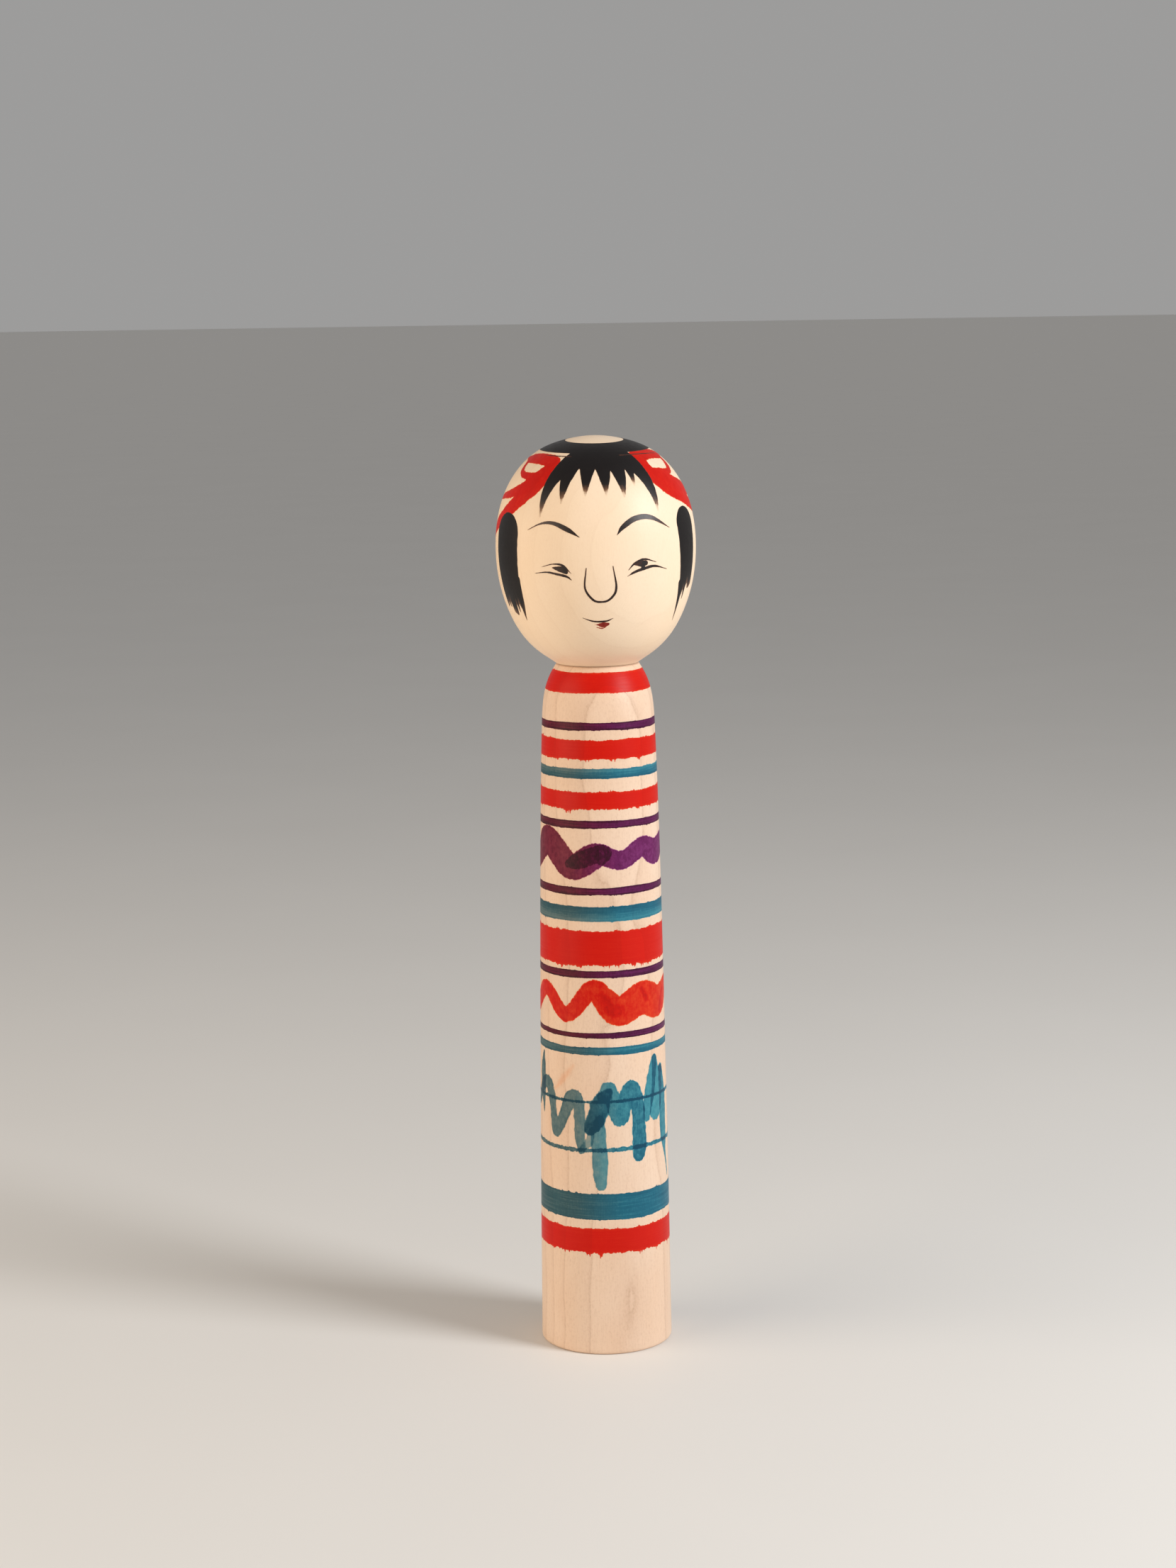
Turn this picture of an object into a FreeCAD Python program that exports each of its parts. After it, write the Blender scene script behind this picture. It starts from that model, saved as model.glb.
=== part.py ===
import FreeCAD, Part
import math
import os

# A turned wooden kokeshi doll in two pieces. The body stands on z = 0 with its axis on +Z, and the
# painted face looks towards -Y. The head is one solid with the tenon under it. Its bulb was snapped
# past the lip of the body's socket, so it can't come off, but it turns about +Z.
# All sizes are in millimetres.

# Driving dimensions.
TOTAL_HEIGHT = 242.0      # floor to crown: the eight-sun size
SEAT_HEIGHT = 183.0       # the flat face where the head sits on the body
BASE_RADIUS = 17.5
BASE_ROUND = 0.8          # worn edge round the foot
SEAT_RADIUS = 10.9        # both pieces, where they meet
SEAM_ROUND = 0.25         # broken edge each side of the seam
CENTRE_MARK_RADIUS = 1.2  # left under the foot by the lathe's centre
CENTRE_MARK_DEPTH = 1.5

NECK_RADIUS = 6.0         # the tenon between the seat and its bulb
NECK_LENGTH = 6.0
BULB_RADIUS = 6.8         # the tenon's wider end, held behind the socket's lip
BULB_SHOULDER = 0.8       # height of the cone from the neck out to the bulb
BULB_LENGTH = 7.0
BULB_CHAMFER = 1.2
RUNNING_FIT = 0.06        # radial clearance between tenon and socket
END_PLAY = 0.1            # room above the bulb's shoulder
SOCKET_END_GAP = 1.0      # room below the bulb
DRILL_POINT_HEIGHT = 2.5  # cone left by the drill at the socket's bottom

# Outlines, as (radius, height) from bottom to top. Smooth curves pass through the points.
BODY_SIDE = [
    (BASE_RADIUS, BASE_ROUND),
    (17.2, 34.0),
    (16.6, 82.0),
    (15.7, 136.0),
    (14.8, 167.0),
    (13.7, 176.6),
    (12.15, 180.6),
    (SEAT_RADIUS, SEAT_HEIGHT - SEAM_ROUND),
]
HEAD_SIDE = [
    (SEAT_RADIUS, SEAT_HEIGHT + SEAM_ROUND),
    (15.0, 186.1),
    (19.4, 190.6),
    (22.8, 196.8),
    (25.1, 204.2),
    (26.0, 213.5),
    (25.1, 222.2),
    (22.5, 229.5),
    (18.6, 235.0),
    (14.2, 238.5),
    (7.2, 241.1),
    (0.0, TOTAL_HEIGHT),
]
BODY_SIDE_ENDS = (-0.01, 1.0), (-0.6, 1.0)  # (radial, up) directions at the two ends
HEAD_SIDE_ENDS = (1.4, 1.0), (-1.0, 0.0)


def point(radius, height):
    """A point of a half section, which lies in the XZ plane."""
    return FreeCAD.Vector(radius, 0, height)


def direction(radial, up):
    vector = FreeCAD.Vector(radial, 0, up)
    return vector.normalize()


def smooth_edge(points, ends):
    """A smooth curve through the points, which leaves and arrives in the given directions."""
    curve = Part.BSplineCurve()
    start, end = (direction(*pair) for pair in ends)
    through = [point(*pair) for pair in points]
    curve.interpolate(Points=through, InitialTangent=start, FinalTangent=end, Scale=False)
    return curve.toShape()


def line_edges(points):
    corners = [point(*pair) for pair in points]
    return [Part.LineSegment(a, b).toShape() for a, b in zip(corners, corners[1:])]


def quarter_round(start, centre, radius, first_angle):
    """A quarter turn about the centre, from first_angle degrees on, that starts at start."""
    middle_angle = math.radians(first_angle + 45)
    last_angle = math.radians(first_angle + 90)
    at = [(centre[0] + radius * math.cos(a), centre[1] + radius * math.sin(a)) for a in (middle_angle, last_angle)]
    return Part.Arc(point(*start), point(*at[0]), point(*at[1])).toShape()


def turned(edges):
    """A solid turned about +Z from the edges of a closed half section."""
    face = Part.Face(Part.Wire(Part.__sortEdges__(edges)))
    return face.revolve(FreeCAD.Vector(0, 0, 0), FreeCAD.Vector(0, 0, 1), 360)


def make_body():
    """The body: a slim tapered post with rounded shoulders and a blind, undercut socket in its top."""
    throat = NECK_RADIUS + RUNNING_FIT
    cavity = BULB_RADIUS + RUNNING_FIT
    lip_bottom = SEAT_HEIGHT - NECK_LENGTH + END_PLAY
    cavity_top = lip_bottom - BULB_SHOULDER
    cavity_bottom = SEAT_HEIGHT - NECK_LENGTH - BULB_LENGTH - SOCKET_END_GAP
    socket_and_seat = [
        (0, CENTRE_MARK_DEPTH),
        (0, cavity_bottom - DRILL_POINT_HEIGHT),
        (cavity, cavity_bottom),
        (cavity, cavity_top),
        (throat, lip_bottom),
        (throat, SEAT_HEIGHT),
        (SEAT_RADIUS - SEAM_ROUND, SEAT_HEIGHT),
        (SEAT_RADIUS, SEAT_HEIGHT - SEAM_ROUND),
    ]
    foot = [
        (BASE_RADIUS - BASE_ROUND, 0),
        (CENTRE_MARK_RADIUS, 0),
        (0, CENTRE_MARK_DEPTH),
    ]
    foot_round = quarter_round(foot[0], (BASE_RADIUS - BASE_ROUND, BASE_ROUND), BASE_ROUND, -90)
    side = smooth_edge(BODY_SIDE, BODY_SIDE_ENDS)
    return turned(line_edges(socket_and_seat) + line_edges(foot) + [foot_round, side])


def make_head():
    """The head: a ball a little taller than wide, one solid with the tenon that holds it."""
    neck_bottom = SEAT_HEIGHT - NECK_LENGTH
    bulb_top = neck_bottom - BULB_SHOULDER
    bulb_bottom = neck_bottom - BULB_LENGTH
    tenon_and_seat = [
        (0, TOTAL_HEIGHT),
        (0, bulb_bottom),
        (BULB_RADIUS - BULB_CHAMFER, bulb_bottom),
        (BULB_RADIUS, bulb_bottom + BULB_CHAMFER),
        (BULB_RADIUS, bulb_top),
        (NECK_RADIUS, neck_bottom),
        (NECK_RADIUS, SEAT_HEIGHT),
        (SEAT_RADIUS - SEAM_ROUND, SEAT_HEIGHT),
        (SEAT_RADIUS, SEAT_HEIGHT + SEAM_ROUND),
    ]
    return turned(line_edges(tenon_and_seat) + [smooth_edge(HEAD_SIDE, HEAD_SIDE_ENDS)])


os.makedirs("parts", exist_ok=True)
for node, make in {"body": make_body, "head": make_head}.items():
    shape = make()
    if not shape.isValid() or len(shape.Solids) != 1:
        raise ValueError(node + " isn't one valid solid")
    shape.exportStep("parts/" + node + ".step")
    print(node, round(shape.Volume / 1000, 1), "cm3")
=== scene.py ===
import math

import bpy
import numpy as np
from mathutils import Matrix, Vector


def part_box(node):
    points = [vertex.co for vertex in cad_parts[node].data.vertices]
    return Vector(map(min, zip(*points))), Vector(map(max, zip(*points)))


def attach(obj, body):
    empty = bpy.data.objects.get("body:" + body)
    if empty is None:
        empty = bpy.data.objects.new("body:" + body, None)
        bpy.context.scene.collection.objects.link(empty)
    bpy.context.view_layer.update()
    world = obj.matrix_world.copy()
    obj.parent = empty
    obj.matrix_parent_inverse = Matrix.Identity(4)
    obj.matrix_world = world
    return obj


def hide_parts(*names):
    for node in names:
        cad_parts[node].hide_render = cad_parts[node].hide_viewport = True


# The looks of a turned wooden kokeshi doll. Everything below is in millimetres until it becomes a mesh.
# A place on the doll is an angle, in degrees from the front towards +X, and a distance along its
# surface: height above the floor on the body, and the way down from the crown on the head.

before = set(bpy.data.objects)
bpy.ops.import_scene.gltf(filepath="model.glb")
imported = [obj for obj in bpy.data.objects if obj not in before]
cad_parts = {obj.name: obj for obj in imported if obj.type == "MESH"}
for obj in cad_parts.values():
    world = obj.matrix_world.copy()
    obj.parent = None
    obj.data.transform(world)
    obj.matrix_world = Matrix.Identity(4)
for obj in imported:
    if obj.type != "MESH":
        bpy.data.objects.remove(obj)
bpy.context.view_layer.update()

MM = 0.001
SEAT_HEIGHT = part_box("body")[1].z / MM
CROWN_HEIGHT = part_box("head")[1].z / MM
SEAT_GAP = 0.04          # so that the head's underside doesn't cut the body's top as it turns
FOOT_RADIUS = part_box("body")[1].x / MM

# The two turned outlines, as (radius, height), with the points that the CAD parts have.
BODY_SIDE = [
    (FOOT_RADIUS, 0.8), (17.2, 34.0), (16.6, 82.0), (15.7, 136.0), (14.8, 167.0), (13.7, 176.6),
    (12.15, 180.6), (10.9, SEAT_HEIGHT - 0.25),
]
HEAD_SIDE = [
    (10.9, SEAT_HEIGHT + 0.25), (15.0, 186.1), (19.4, 190.6), (22.8, 196.8), (25.1, 204.2),
    (26.0, 213.5), (25.1, 222.2), (22.5, 229.5), (18.6, 235.0), (14.2, 238.5), (7.2, 241.1),
    (0.0, CROWN_HEIGHT),
]
FOOT = [(0.0, 1.5), (1.2, 0.0), (9.0, 0.0), (16.7, 0.0), (17.03, 0.07), (17.3, 0.27), (17.45, 0.52)]
SOCKET = [
    (10.65, SEAT_HEIGHT), (6.06, SEAT_HEIGHT), (6.06, SEAT_HEIGHT - 5.9), (6.86, SEAT_HEIGHT - 6.7),
    (6.86, SEAT_HEIGHT - 14.0), (0.0, SEAT_HEIGHT - 16.5),
]
TENON = [
    (0.0, SEAT_HEIGHT - 13.0), (5.6, SEAT_HEIGHT - 13.0), (6.8, SEAT_HEIGHT - 11.8),
    (6.8, SEAT_HEIGHT - 6.8), (6.0, SEAT_HEIGHT - 6.0), (6.0, SEAT_HEIGHT + SEAT_GAP),
    (10.65, SEAT_HEIGHT + SEAT_GAP),
]
TURNED_SEGMENTS = 288
OUTLINE_STEP = 0.9
SHARP_ANGLE = 38.0

FACE_TURN = 2.0          # degrees that the head is turned towards +X
FILM_BOTTOM = -0.03      # how far a film of dye reaches into the wood
BAND_ROW_STEP = 0.5      # between the rows of points across a stripe
MEAN_TURN = 120.0        # a typical way round the doll, for the noise that runs round it


# ---------------------------------------------------------------- turned surfaces

def smooth_outline(points, start, end, count=1500):
    """Many points of the smooth curve through these, which leaves and arrives in the given directions."""
    knots = np.array(points, float)
    spans = np.linalg.norm(np.diff(knots, axis=0), axis=1)
    last = len(knots) - 1
    system, right = np.zeros((last + 1, last + 1)), np.zeros((last + 1, 2))
    system[0, 0] = system[last, last] = 1
    right[0] = np.array(start) / np.linalg.norm(start)
    right[last] = np.array(end) / np.linalg.norm(end)
    for i in range(1, last):
        before, after = spans[i - 1], spans[i]
        system[i, i - 1:i + 2] = after, 2 * (before + after), before
        rise = after * (knots[i] - knots[i - 1]) / before + before * (knots[i + 1] - knots[i]) / after
        right[i] = 3 * rise
    slopes = np.linalg.solve(system, right)
    starts = np.concatenate([[0], np.cumsum(spans)])
    reach = np.linspace(0, starts[-1], count)
    k = np.clip(np.searchsorted(starts, reach, side="right") - 1, 0, last - 1)
    span = spans[k][:, None]
    t = (reach - starts[k])[:, None] / span
    ends = (2 * t**3 - 3 * t**2 + 1) * knots[k] + (3 * t**2 - 2 * t**3) * knots[k + 1]
    return ends + span * ((t**3 - 2 * t**2 + t) * slopes[k] + (t**3 - t**2) * slopes[k + 1])


def lengths(outline):
    steps = np.linalg.norm(np.diff(outline, axis=0), axis=1)
    return np.concatenate([[0], np.cumsum(steps)])


class Surface:
    """The outside of a turned piece."""

    def __init__(self, outline, along, body):
        self.outline, self.along, self.body = outline, along, body
        slope = np.gradient(outline, axis=0)
        normal = np.stack([slope[:, 1], -slope[:, 0]], axis=1)
        normal /= np.linalg.norm(normal, axis=1)[:, None]
        self.normal = normal * np.sign(normal[len(normal) // 2, 0])

    def radius(self, along):
        return np.interp(along, self.along, self.outline[:, 0])

    def place(self, angle, along, lift=0.0):
        """Points in millimetres, raised off the wood by lift."""
        radius = self.radius(along) + lift * np.interp(along, self.along, self.normal[:, 0])
        height = np.interp(along, self.along, self.outline[:, 1])
        height = height + lift * np.interp(along, self.along, self.normal[:, 1])
        turn = np.radians(angle)
        return np.stack([radius * np.sin(turn), -radius * np.cos(turn), height], axis=-1)


body_outline = smooth_outline(BODY_SIDE, (-0.01, 1.0), (-0.6, 1.0))
head_outline = smooth_outline(HEAD_SIDE, (1.4, 1.0), (-1.0, 0.0))
BODY = Surface(body_outline, body_outline[:, 1], "body")
HEAD = Surface(head_outline[::-1], lengths(head_outline[::-1]), "head")


def new_object(name, mesh):
    piece = bpy.data.objects.new(name, mesh)
    bpy.context.scene.collection.objects.link(piece)
    return piece


def shade(mesh):
    mesh.shade_smooth()
    mesh.set_sharp_from_angle(angle=math.radians(SHARP_ANGLE))


def turned_piece(name, outline):
    """A closed solid turned about the doll's axis from an outline that starts and ends on it."""
    rings = [np.array(p) for p in outline[1:-1]]
    turns = np.linspace(0, 2 * np.pi, TURNED_SEGMENTS, endpoint=False)
    round_unit = np.stack([np.sin(turns), -np.cos(turns)], axis=1)
    points = [(0, 0, outline[0][1])]
    for radius, height in rings:
        points += [(x * radius, y * radius, height) for x, y in round_unit]
    points.append((0, 0, outline[-1][1]))
    top = len(points) - 1
    faces = []
    for i in range(TURNED_SEGMENTS):
        n = (i + 1) % TURNED_SEGMENTS
        faces.append((0, 1 + n, 1 + i))
        for r in range(len(rings) - 1):
            low, high = 1 + r * TURNED_SEGMENTS, 1 + (r + 1) * TURNED_SEGMENTS
            faces.append((low + i, low + n, high + n, high + i))
        ring = 1 + (len(rings) - 1) * TURNED_SEGMENTS
        faces.append((ring + i, ring + n, top))
    mesh = bpy.data.meshes.new(name)
    mesh.from_pydata([tuple(MM * c for c in p) for p in points], [], faces)
    mesh.validate()
    shade(mesh)
    return new_object(name, mesh)


def thinned(outline, step):
    """The outline with points about one step apart."""
    count = int(lengths(outline)[-1] / step)
    reach = np.linspace(0, lengths(outline)[-1], count)
    return [tuple(np.array([np.interp(r, lengths(outline), outline[:, c]) for c in (0, 1)])) for r in reach]


# ---------------------------------------------------------------- dye on the surface

def noise(angle, along, width, length, seed):
    """Smooth random values from 0 to 1, in cells of that width and length, with no seam at the back."""
    around = max(8, round(MEAN_TURN / width))
    table = np.random.default_rng(seed).random((around, 97))
    x, y = np.asarray(angle) / 360 * around, np.asarray(along) / length
    i, j = np.floor(x).astype(int), np.floor(y).astype(int)
    u, v = x - i, y - j
    u, v = u * u * (3 - 2 * u), v * v * (3 - 2 * v)
    row, next_row, col, next_col = i % around, (i + 1) % around, j % 97, (j + 1) % 97
    low = table[row, col] * (1 - u) + table[next_row, col] * u
    high = table[row, next_col] * (1 - u) + table[next_row, next_col] * u
    return low * (1 - v) + high * v


def ramp(value, low, high):
    """0 below low and 1 above high, with a smooth rise between them."""
    t = np.clip((value - low) / (high - low), 0, 1)
    return t * t * (3 - 2 * t)


def closed_skin(name, surface, angle, along, faces, dye, lift):
    """A thin closed film of dye: its outside, the same faces under the wood's surface, and a wall round."""
    outside = surface.place(angle, along, lift)
    inside = surface.place(angle, along, FILM_BOTTOM)
    count = len(outside)
    edges = {(f[i], f[(i + 1) % len(f)]) for f in faces for i in range(len(f))}
    rim = [(a, b) for a, b in edges if (b, a) not in edges]
    under = [tuple(count + v for v in reversed(f)) for f in faces]
    walls = [(b, a, count + a, count + b) for a, b in sorted(rim)]
    mesh = bpy.data.meshes.new(name)
    mesh.from_pydata((np.concatenate([outside, inside]) * MM).tolist(), [], faces + under + walls)
    density = mesh.attributes.new("dye", "FLOAT", "POINT")
    density.data.foreach_set("value", np.concatenate([dye, dye]).astype(np.float32))
    shade(mesh)
    piece = new_object(name, mesh)
    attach(piece, surface.body)
    return piece


def painted(name, surface, paint, angles, alongs, step, lift):
    """A film where paint(angle, along) gives a positive depth in mm. It gives the density of dye too."""
    whole_turn = angles[1] - angles[0] >= 360
    middle_radius = float(surface.radius((alongs[0] + alongs[1]) / 2))
    columns = int(math.radians(angles[1] - angles[0]) * middle_radius / step)
    rows = int((alongs[1] - alongs[0]) / step)
    column_angles = np.linspace(angles[0], angles[1], columns, endpoint=not whole_turn)
    row_alongs = np.linspace(alongs[0], alongs[1], rows)
    angle, along = np.meshgrid(column_angles, row_alongs, indexing="ij")
    depth, dye = paint(angle, along)
    if whole_turn:  # the first column closes the circle
        angle = np.vstack([angle, angle[:1] + 360])
        along, depth, dye = (np.vstack([v, v[:1]]) for v in (along, depth, dye))
    inside = depth > 0
    ids = np.full(depth.shape, -1)
    ids[inside] = np.arange(inside.sum())
    parts = [[angle[inside]], [along[inside]], [dye[inside]]]
    if whole_turn:
        ids[-1] = ids[0]
    count = int(inside.sum())

    def crossings(axis):
        """New points where the film's edge crosses the grid's lines along this axis."""
        nonlocal count
        a = (slice(None, -1), slice(None)) if axis == 0 else (slice(None), slice(None, -1))
        b = (slice(1, None), slice(None)) if axis == 0 else (slice(None), slice(1, None))
        crossed = inside[a] != inside[b]
        t = np.clip(depth[a][crossed] / (depth[a][crossed] - depth[b][crossed]), 0.04, 0.96)
        for part, value in zip(parts, (angle, along, dye)):
            part.append(value[a][crossed] * (1 - t) + value[b][crossed] * t)
        made = np.full(crossed.shape, -1)
        made[crossed] = count + np.arange(crossed.sum())
        count += int(crossed.sum())
        return made

    across, upward = crossings(0), crossings(1)
    if whole_turn:
        upward[-1] = upward[0]
    corners = [ids[:-1, :-1], ids[1:, :-1], ids[1:, 1:], ids[:-1, 1:]]
    sides = [across[:, :-1], upward[1:, :], across[:, 1:], upward[:-1, :]]
    flags = [inside[:-1, :-1], inside[1:, :-1], inside[1:, 1:], inside[:-1, 1:]]
    case = sum(flag.astype(int) << k for k, flag in enumerate(flags))
    faces = []
    for pattern in range(1, 16):
        cells = case == pattern
        if not cells.any():
            continue
        held = [bool(pattern >> k & 1) for k in range(4)]
        walk = []
        for k in range(4):
            if held[k]:
                walk.append(corners[k][cells])
            if held[k] != held[(k + 1) % 4]:
                walk.append(sides[k][cells])
        faces += [tuple(f) for f in np.stack(walk, axis=1).tolist()]
    if surface is HEAD:  # along runs downwards there, which turns the faces over
        faces = [f[::-1] for f in faces]
    angle, along, dye = (np.concatenate(part) for part in parts)
    used = np.zeros(len(angle), bool)
    used[np.array([v for f in faces for v in f])] = True
    new_ids = np.cumsum(used) - 1
    faces = [tuple(int(new_ids[v]) for v in f) for f in faces]
    return closed_skin(name, surface, angle[used], along[used], faces, dye[used], lift)


class Stroke:
    """One stroke of the brush, through (angle, along, width) points, with its dye from start to end."""

    def __init__(self, surface, points, load=(1.0, 1.0), closed=False, shift=0.0, soft=None):
        knots = np.array(points, float)
        knots[:, 0] += shift
        if closed:
            knots = np.vstack([knots, knots[:1] + (360, 0, 0)])
        before, after = 2 * knots[0] - knots[1], 2 * knots[-1] - knots[-2]
        padded = np.vstack([before, knots, after])
        t = np.linspace(0, 1, 11)[:-1, None]
        spans = []
        for a, b, c, d in zip(padded, padded[1:], padded[2:], padded[3:]):
            spans.append(0.5 * (2 * b + (c - a) * t + (2 * a - 5 * b + 4 * c - d) * t**2
                                + (3 * b - a - 3 * c + d) * t**3))
        line = np.vstack(spans + [knots[-1:]])
        self.points = surface.place(line[:, 0], line[:, 1])
        self.half = np.maximum(line[:, 2], 0.02) / 2
        self.progress = np.linspace(0, 1, len(line))
        self.load, self.soft = load, soft

    def measure(self, places):
        """How deep inside the stroke each place is, in mm, and how far along the stroke, from 0 to 1."""
        depth = np.full(len(places), -9.0)
        progress = np.zeros(len(places))
        reach = self.half.max() + 1.5
        low, high = self.points.min(axis=0) - reach, self.points.max(axis=0) + reach
        near = np.flatnonzero(((places > low) & (places < high)).all(axis=1))
        spots = places[near]
        best, where = np.full(len(near), -9.0), np.zeros(len(near))
        for i in range(len(self.points) - 1):
            a, side = self.points[i], self.points[i + 1] - self.points[i]
            t = np.clip((spots - a) @ side / max(side @ side, 1e-9), 0, 1)
            gap = np.linalg.norm(spots - a - t[:, None] * side, axis=1)
            found = self.half[i] * (1 - t) + self.half[i + 1] * t - gap
            better = found > best
            best[better] = found[better]
            span = self.progress[i] * (1 - t) + self.progress[i + 1] * t
            where[better] = span[better]
        depth[near], progress[near] = best, where
        return depth, progress


def brushwork(surface, strokes, ragged=0.1, fade=1.0, seed=1, pool=0.0, soft=0.35, most=9.0):
    """The paint function of several strokes together. Where they cross, their dye adds up.

    ragged is how far the edge wanders along the grain, fade where along a stroke its dye starts to
    change from its first load to its last, pool how much dye gathers along the edges, soft how far from
    the edge a stroke's dye takes to build up, and most the greatest dye that the wood takes."""
    def paint(angle, along):
        places = surface.place(angle.ravel(), along.ravel())
        spread = noise(angle, along, 0.3, 1.2, seed).ravel() - 0.5
        spread += 0.6 * (noise(angle, along, 0.9, 3.0, seed + 1).ravel() - 0.5)
        bristles = noise(angle, along, 0.25, 8.0, seed + 2).ravel()
        depth, dye = np.full(len(places), -9.0), np.zeros(len(places))
        for stroke in strokes:
            inside, progress = stroke.measure(places)
            inside = inside + 2 * ragged * spread
            start, end = stroke.load
            late = progress if fade >= 1 else ramp(progress, fade, 1.0)
            load = start + (end - start) * late
            if fade < 1:
                load = load * (1 - 0.7 * late * bristles)
            reach = stroke.soft or soft
            dye += load * ramp(inside, -0.05, reach)
            dye += pool * load * ramp(inside, 0.02, 0.12) * (1 - ramp(inside, 0.2, 0.55))
            depth = np.maximum(depth, inside)
        return depth.reshape(angle.shape), np.minimum(dye, most).reshape(angle.shape)
    return paint


def swings(start, end, first, second, width, count):
    """Points of a brush going up and down as the doll turns: first and second are the heights in turn."""
    turns = np.linspace(start, end, count)
    return [(angle, second if i % 2 else first, width) for i, angle in enumerate(turns)]


def band(name, low, high, bleed, loads, seed, lift):
    """A stripe laid on while the body turned. Its edges bleed a little along the grain.

    bleed is how far its edges spread, down and up, and loads its dye at the bottom edge, in the lower
    part, in the upper part and at the top edge."""
    columns = 1080
    angles = np.linspace(-180, 180, columns, endpoint=False)

    def edge(height, reach, way, edge_seed):
        drift = 0.3 * (noise(angles, 0, 11.0, 1.0, edge_seed) - 0.5)
        spikes = ramp(noise(angles, 0, 0.33, 1.0, edge_seed + 1), 0.62, 1.0)
        tufts = ramp(noise(angles, 0, 1.7, 1.0, edge_seed + 2), 0.35, 1.0)
        nibbles = noise(angles, 0, 0.42, 1.0, edge_seed + 3) - 0.5
        return height + drift + way * reach * (1.3 * spikes * tufts + 0.45 * tufts + 0.5 * nibbles)

    bottom, top = edge(low, bleed[0], -1, seed), edge(high, bleed[1], 1, seed + 10)
    inset = 0.2 * min(high - low, 2.6)
    inner_low, inner_high = low + inset, high - inset
    inner = max(2, round((inner_high - inner_low) / BAND_ROW_STEP) + 1)
    bottom_edge, lower, upper, top_edge = loads
    rows = [bottom, (bottom + inner_low) / 2]
    dye_rows = [0.75 * bottom_edge, bottom_edge]
    for part in np.linspace(0, 1, inner):
        rows.append(inner_low + part * (inner_high - inner_low) + 0 * bottom)
        dye_rows.append(lower + part * (upper - lower))
    rows += [(top + inner_high) / 2, top]
    dye_rows += [top_edge, 0.75 * top_edge]
    along = np.stack(rows, axis=1)
    dye = np.tile(dye_rows, (columns, 1))
    ids = np.arange(along.size).reshape(along.shape)
    here, beyond = ids, np.roll(ids, -1, axis=0)
    faces = np.stack([here[:, :-1], beyond[:, :-1], beyond[:, 1:], here[:, 1:]], axis=-1).reshape(-1, 4)
    angle = np.tile(angles[:, None], (1, along.shape[1]))
    return closed_skin(name, BODY, angle.ravel(), along.ravel(), [tuple(f) for f in faces.tolist()],
                       dye.ravel(), lift)


# ---------------------------------------------------------------- materials

def node(tree, kind, inputs=(), **settings):
    """A new node. Inputs are (socket name or number, value or socket) pairs."""
    made = tree.nodes.new(kind)
    for key, value in settings.items():
        setattr(made, key, value)
    for key, value in dict(inputs).items():
        if isinstance(value, bpy.types.NodeSocket):
            tree.links.new(value, made.inputs[key])
        else:
            made.inputs[key].default_value = value
    return made


def sums(tree, operation, a, b=0.0, c=0.0, clamp=False):
    made = node(tree, "ShaderNodeMath", {0: a, 1: b, 2: c}, operation=operation, use_clamp=clamp)
    return made.outputs[0]


def noise_of(tree, place, scale, detail=2.0, roughness=0.5):
    """Noise whose cells are stretched: scale is how many there are per mm along X, Y and Z."""
    stretched = node(tree, "ShaderNodeVectorMath", {0: place, 1: scale}, operation="MULTIPLY")
    made = node(tree, "ShaderNodeTexNoise",
                {"Vector": stretched.outputs[0], "Scale": 1.0, "Detail": detail, "Roughness": roughness})
    return made.outputs["Fac"]


def colour_ramp(tree, factor, stops):
    made = node(tree, "ShaderNodeValToRGB", {"Fac": factor})
    elements = made.color_ramp.elements
    while len(elements) < len(stops):
        elements.new(0.5)
    for element, (position, colour) in zip(elements, stops):
        element.position = position
        element.color = (*colour, 1.0)
    return made.outputs["Color"]


def mix_colours(tree, factor, a, b, blend="MIX"):
    made = tree.nodes.new("ShaderNodeMix")
    made.data_type = "RGBA"
    made.blend_type = blend
    for index, value in ((0, factor), (6, a), (7, b)):
        if isinstance(value, bpy.types.NodeSocket):
            tree.links.new(value, made.inputs[index])
        else:
            made.inputs[index].default_value = value if index == 0 else (*value, 1.0)
    return made.outputs[2]


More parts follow.
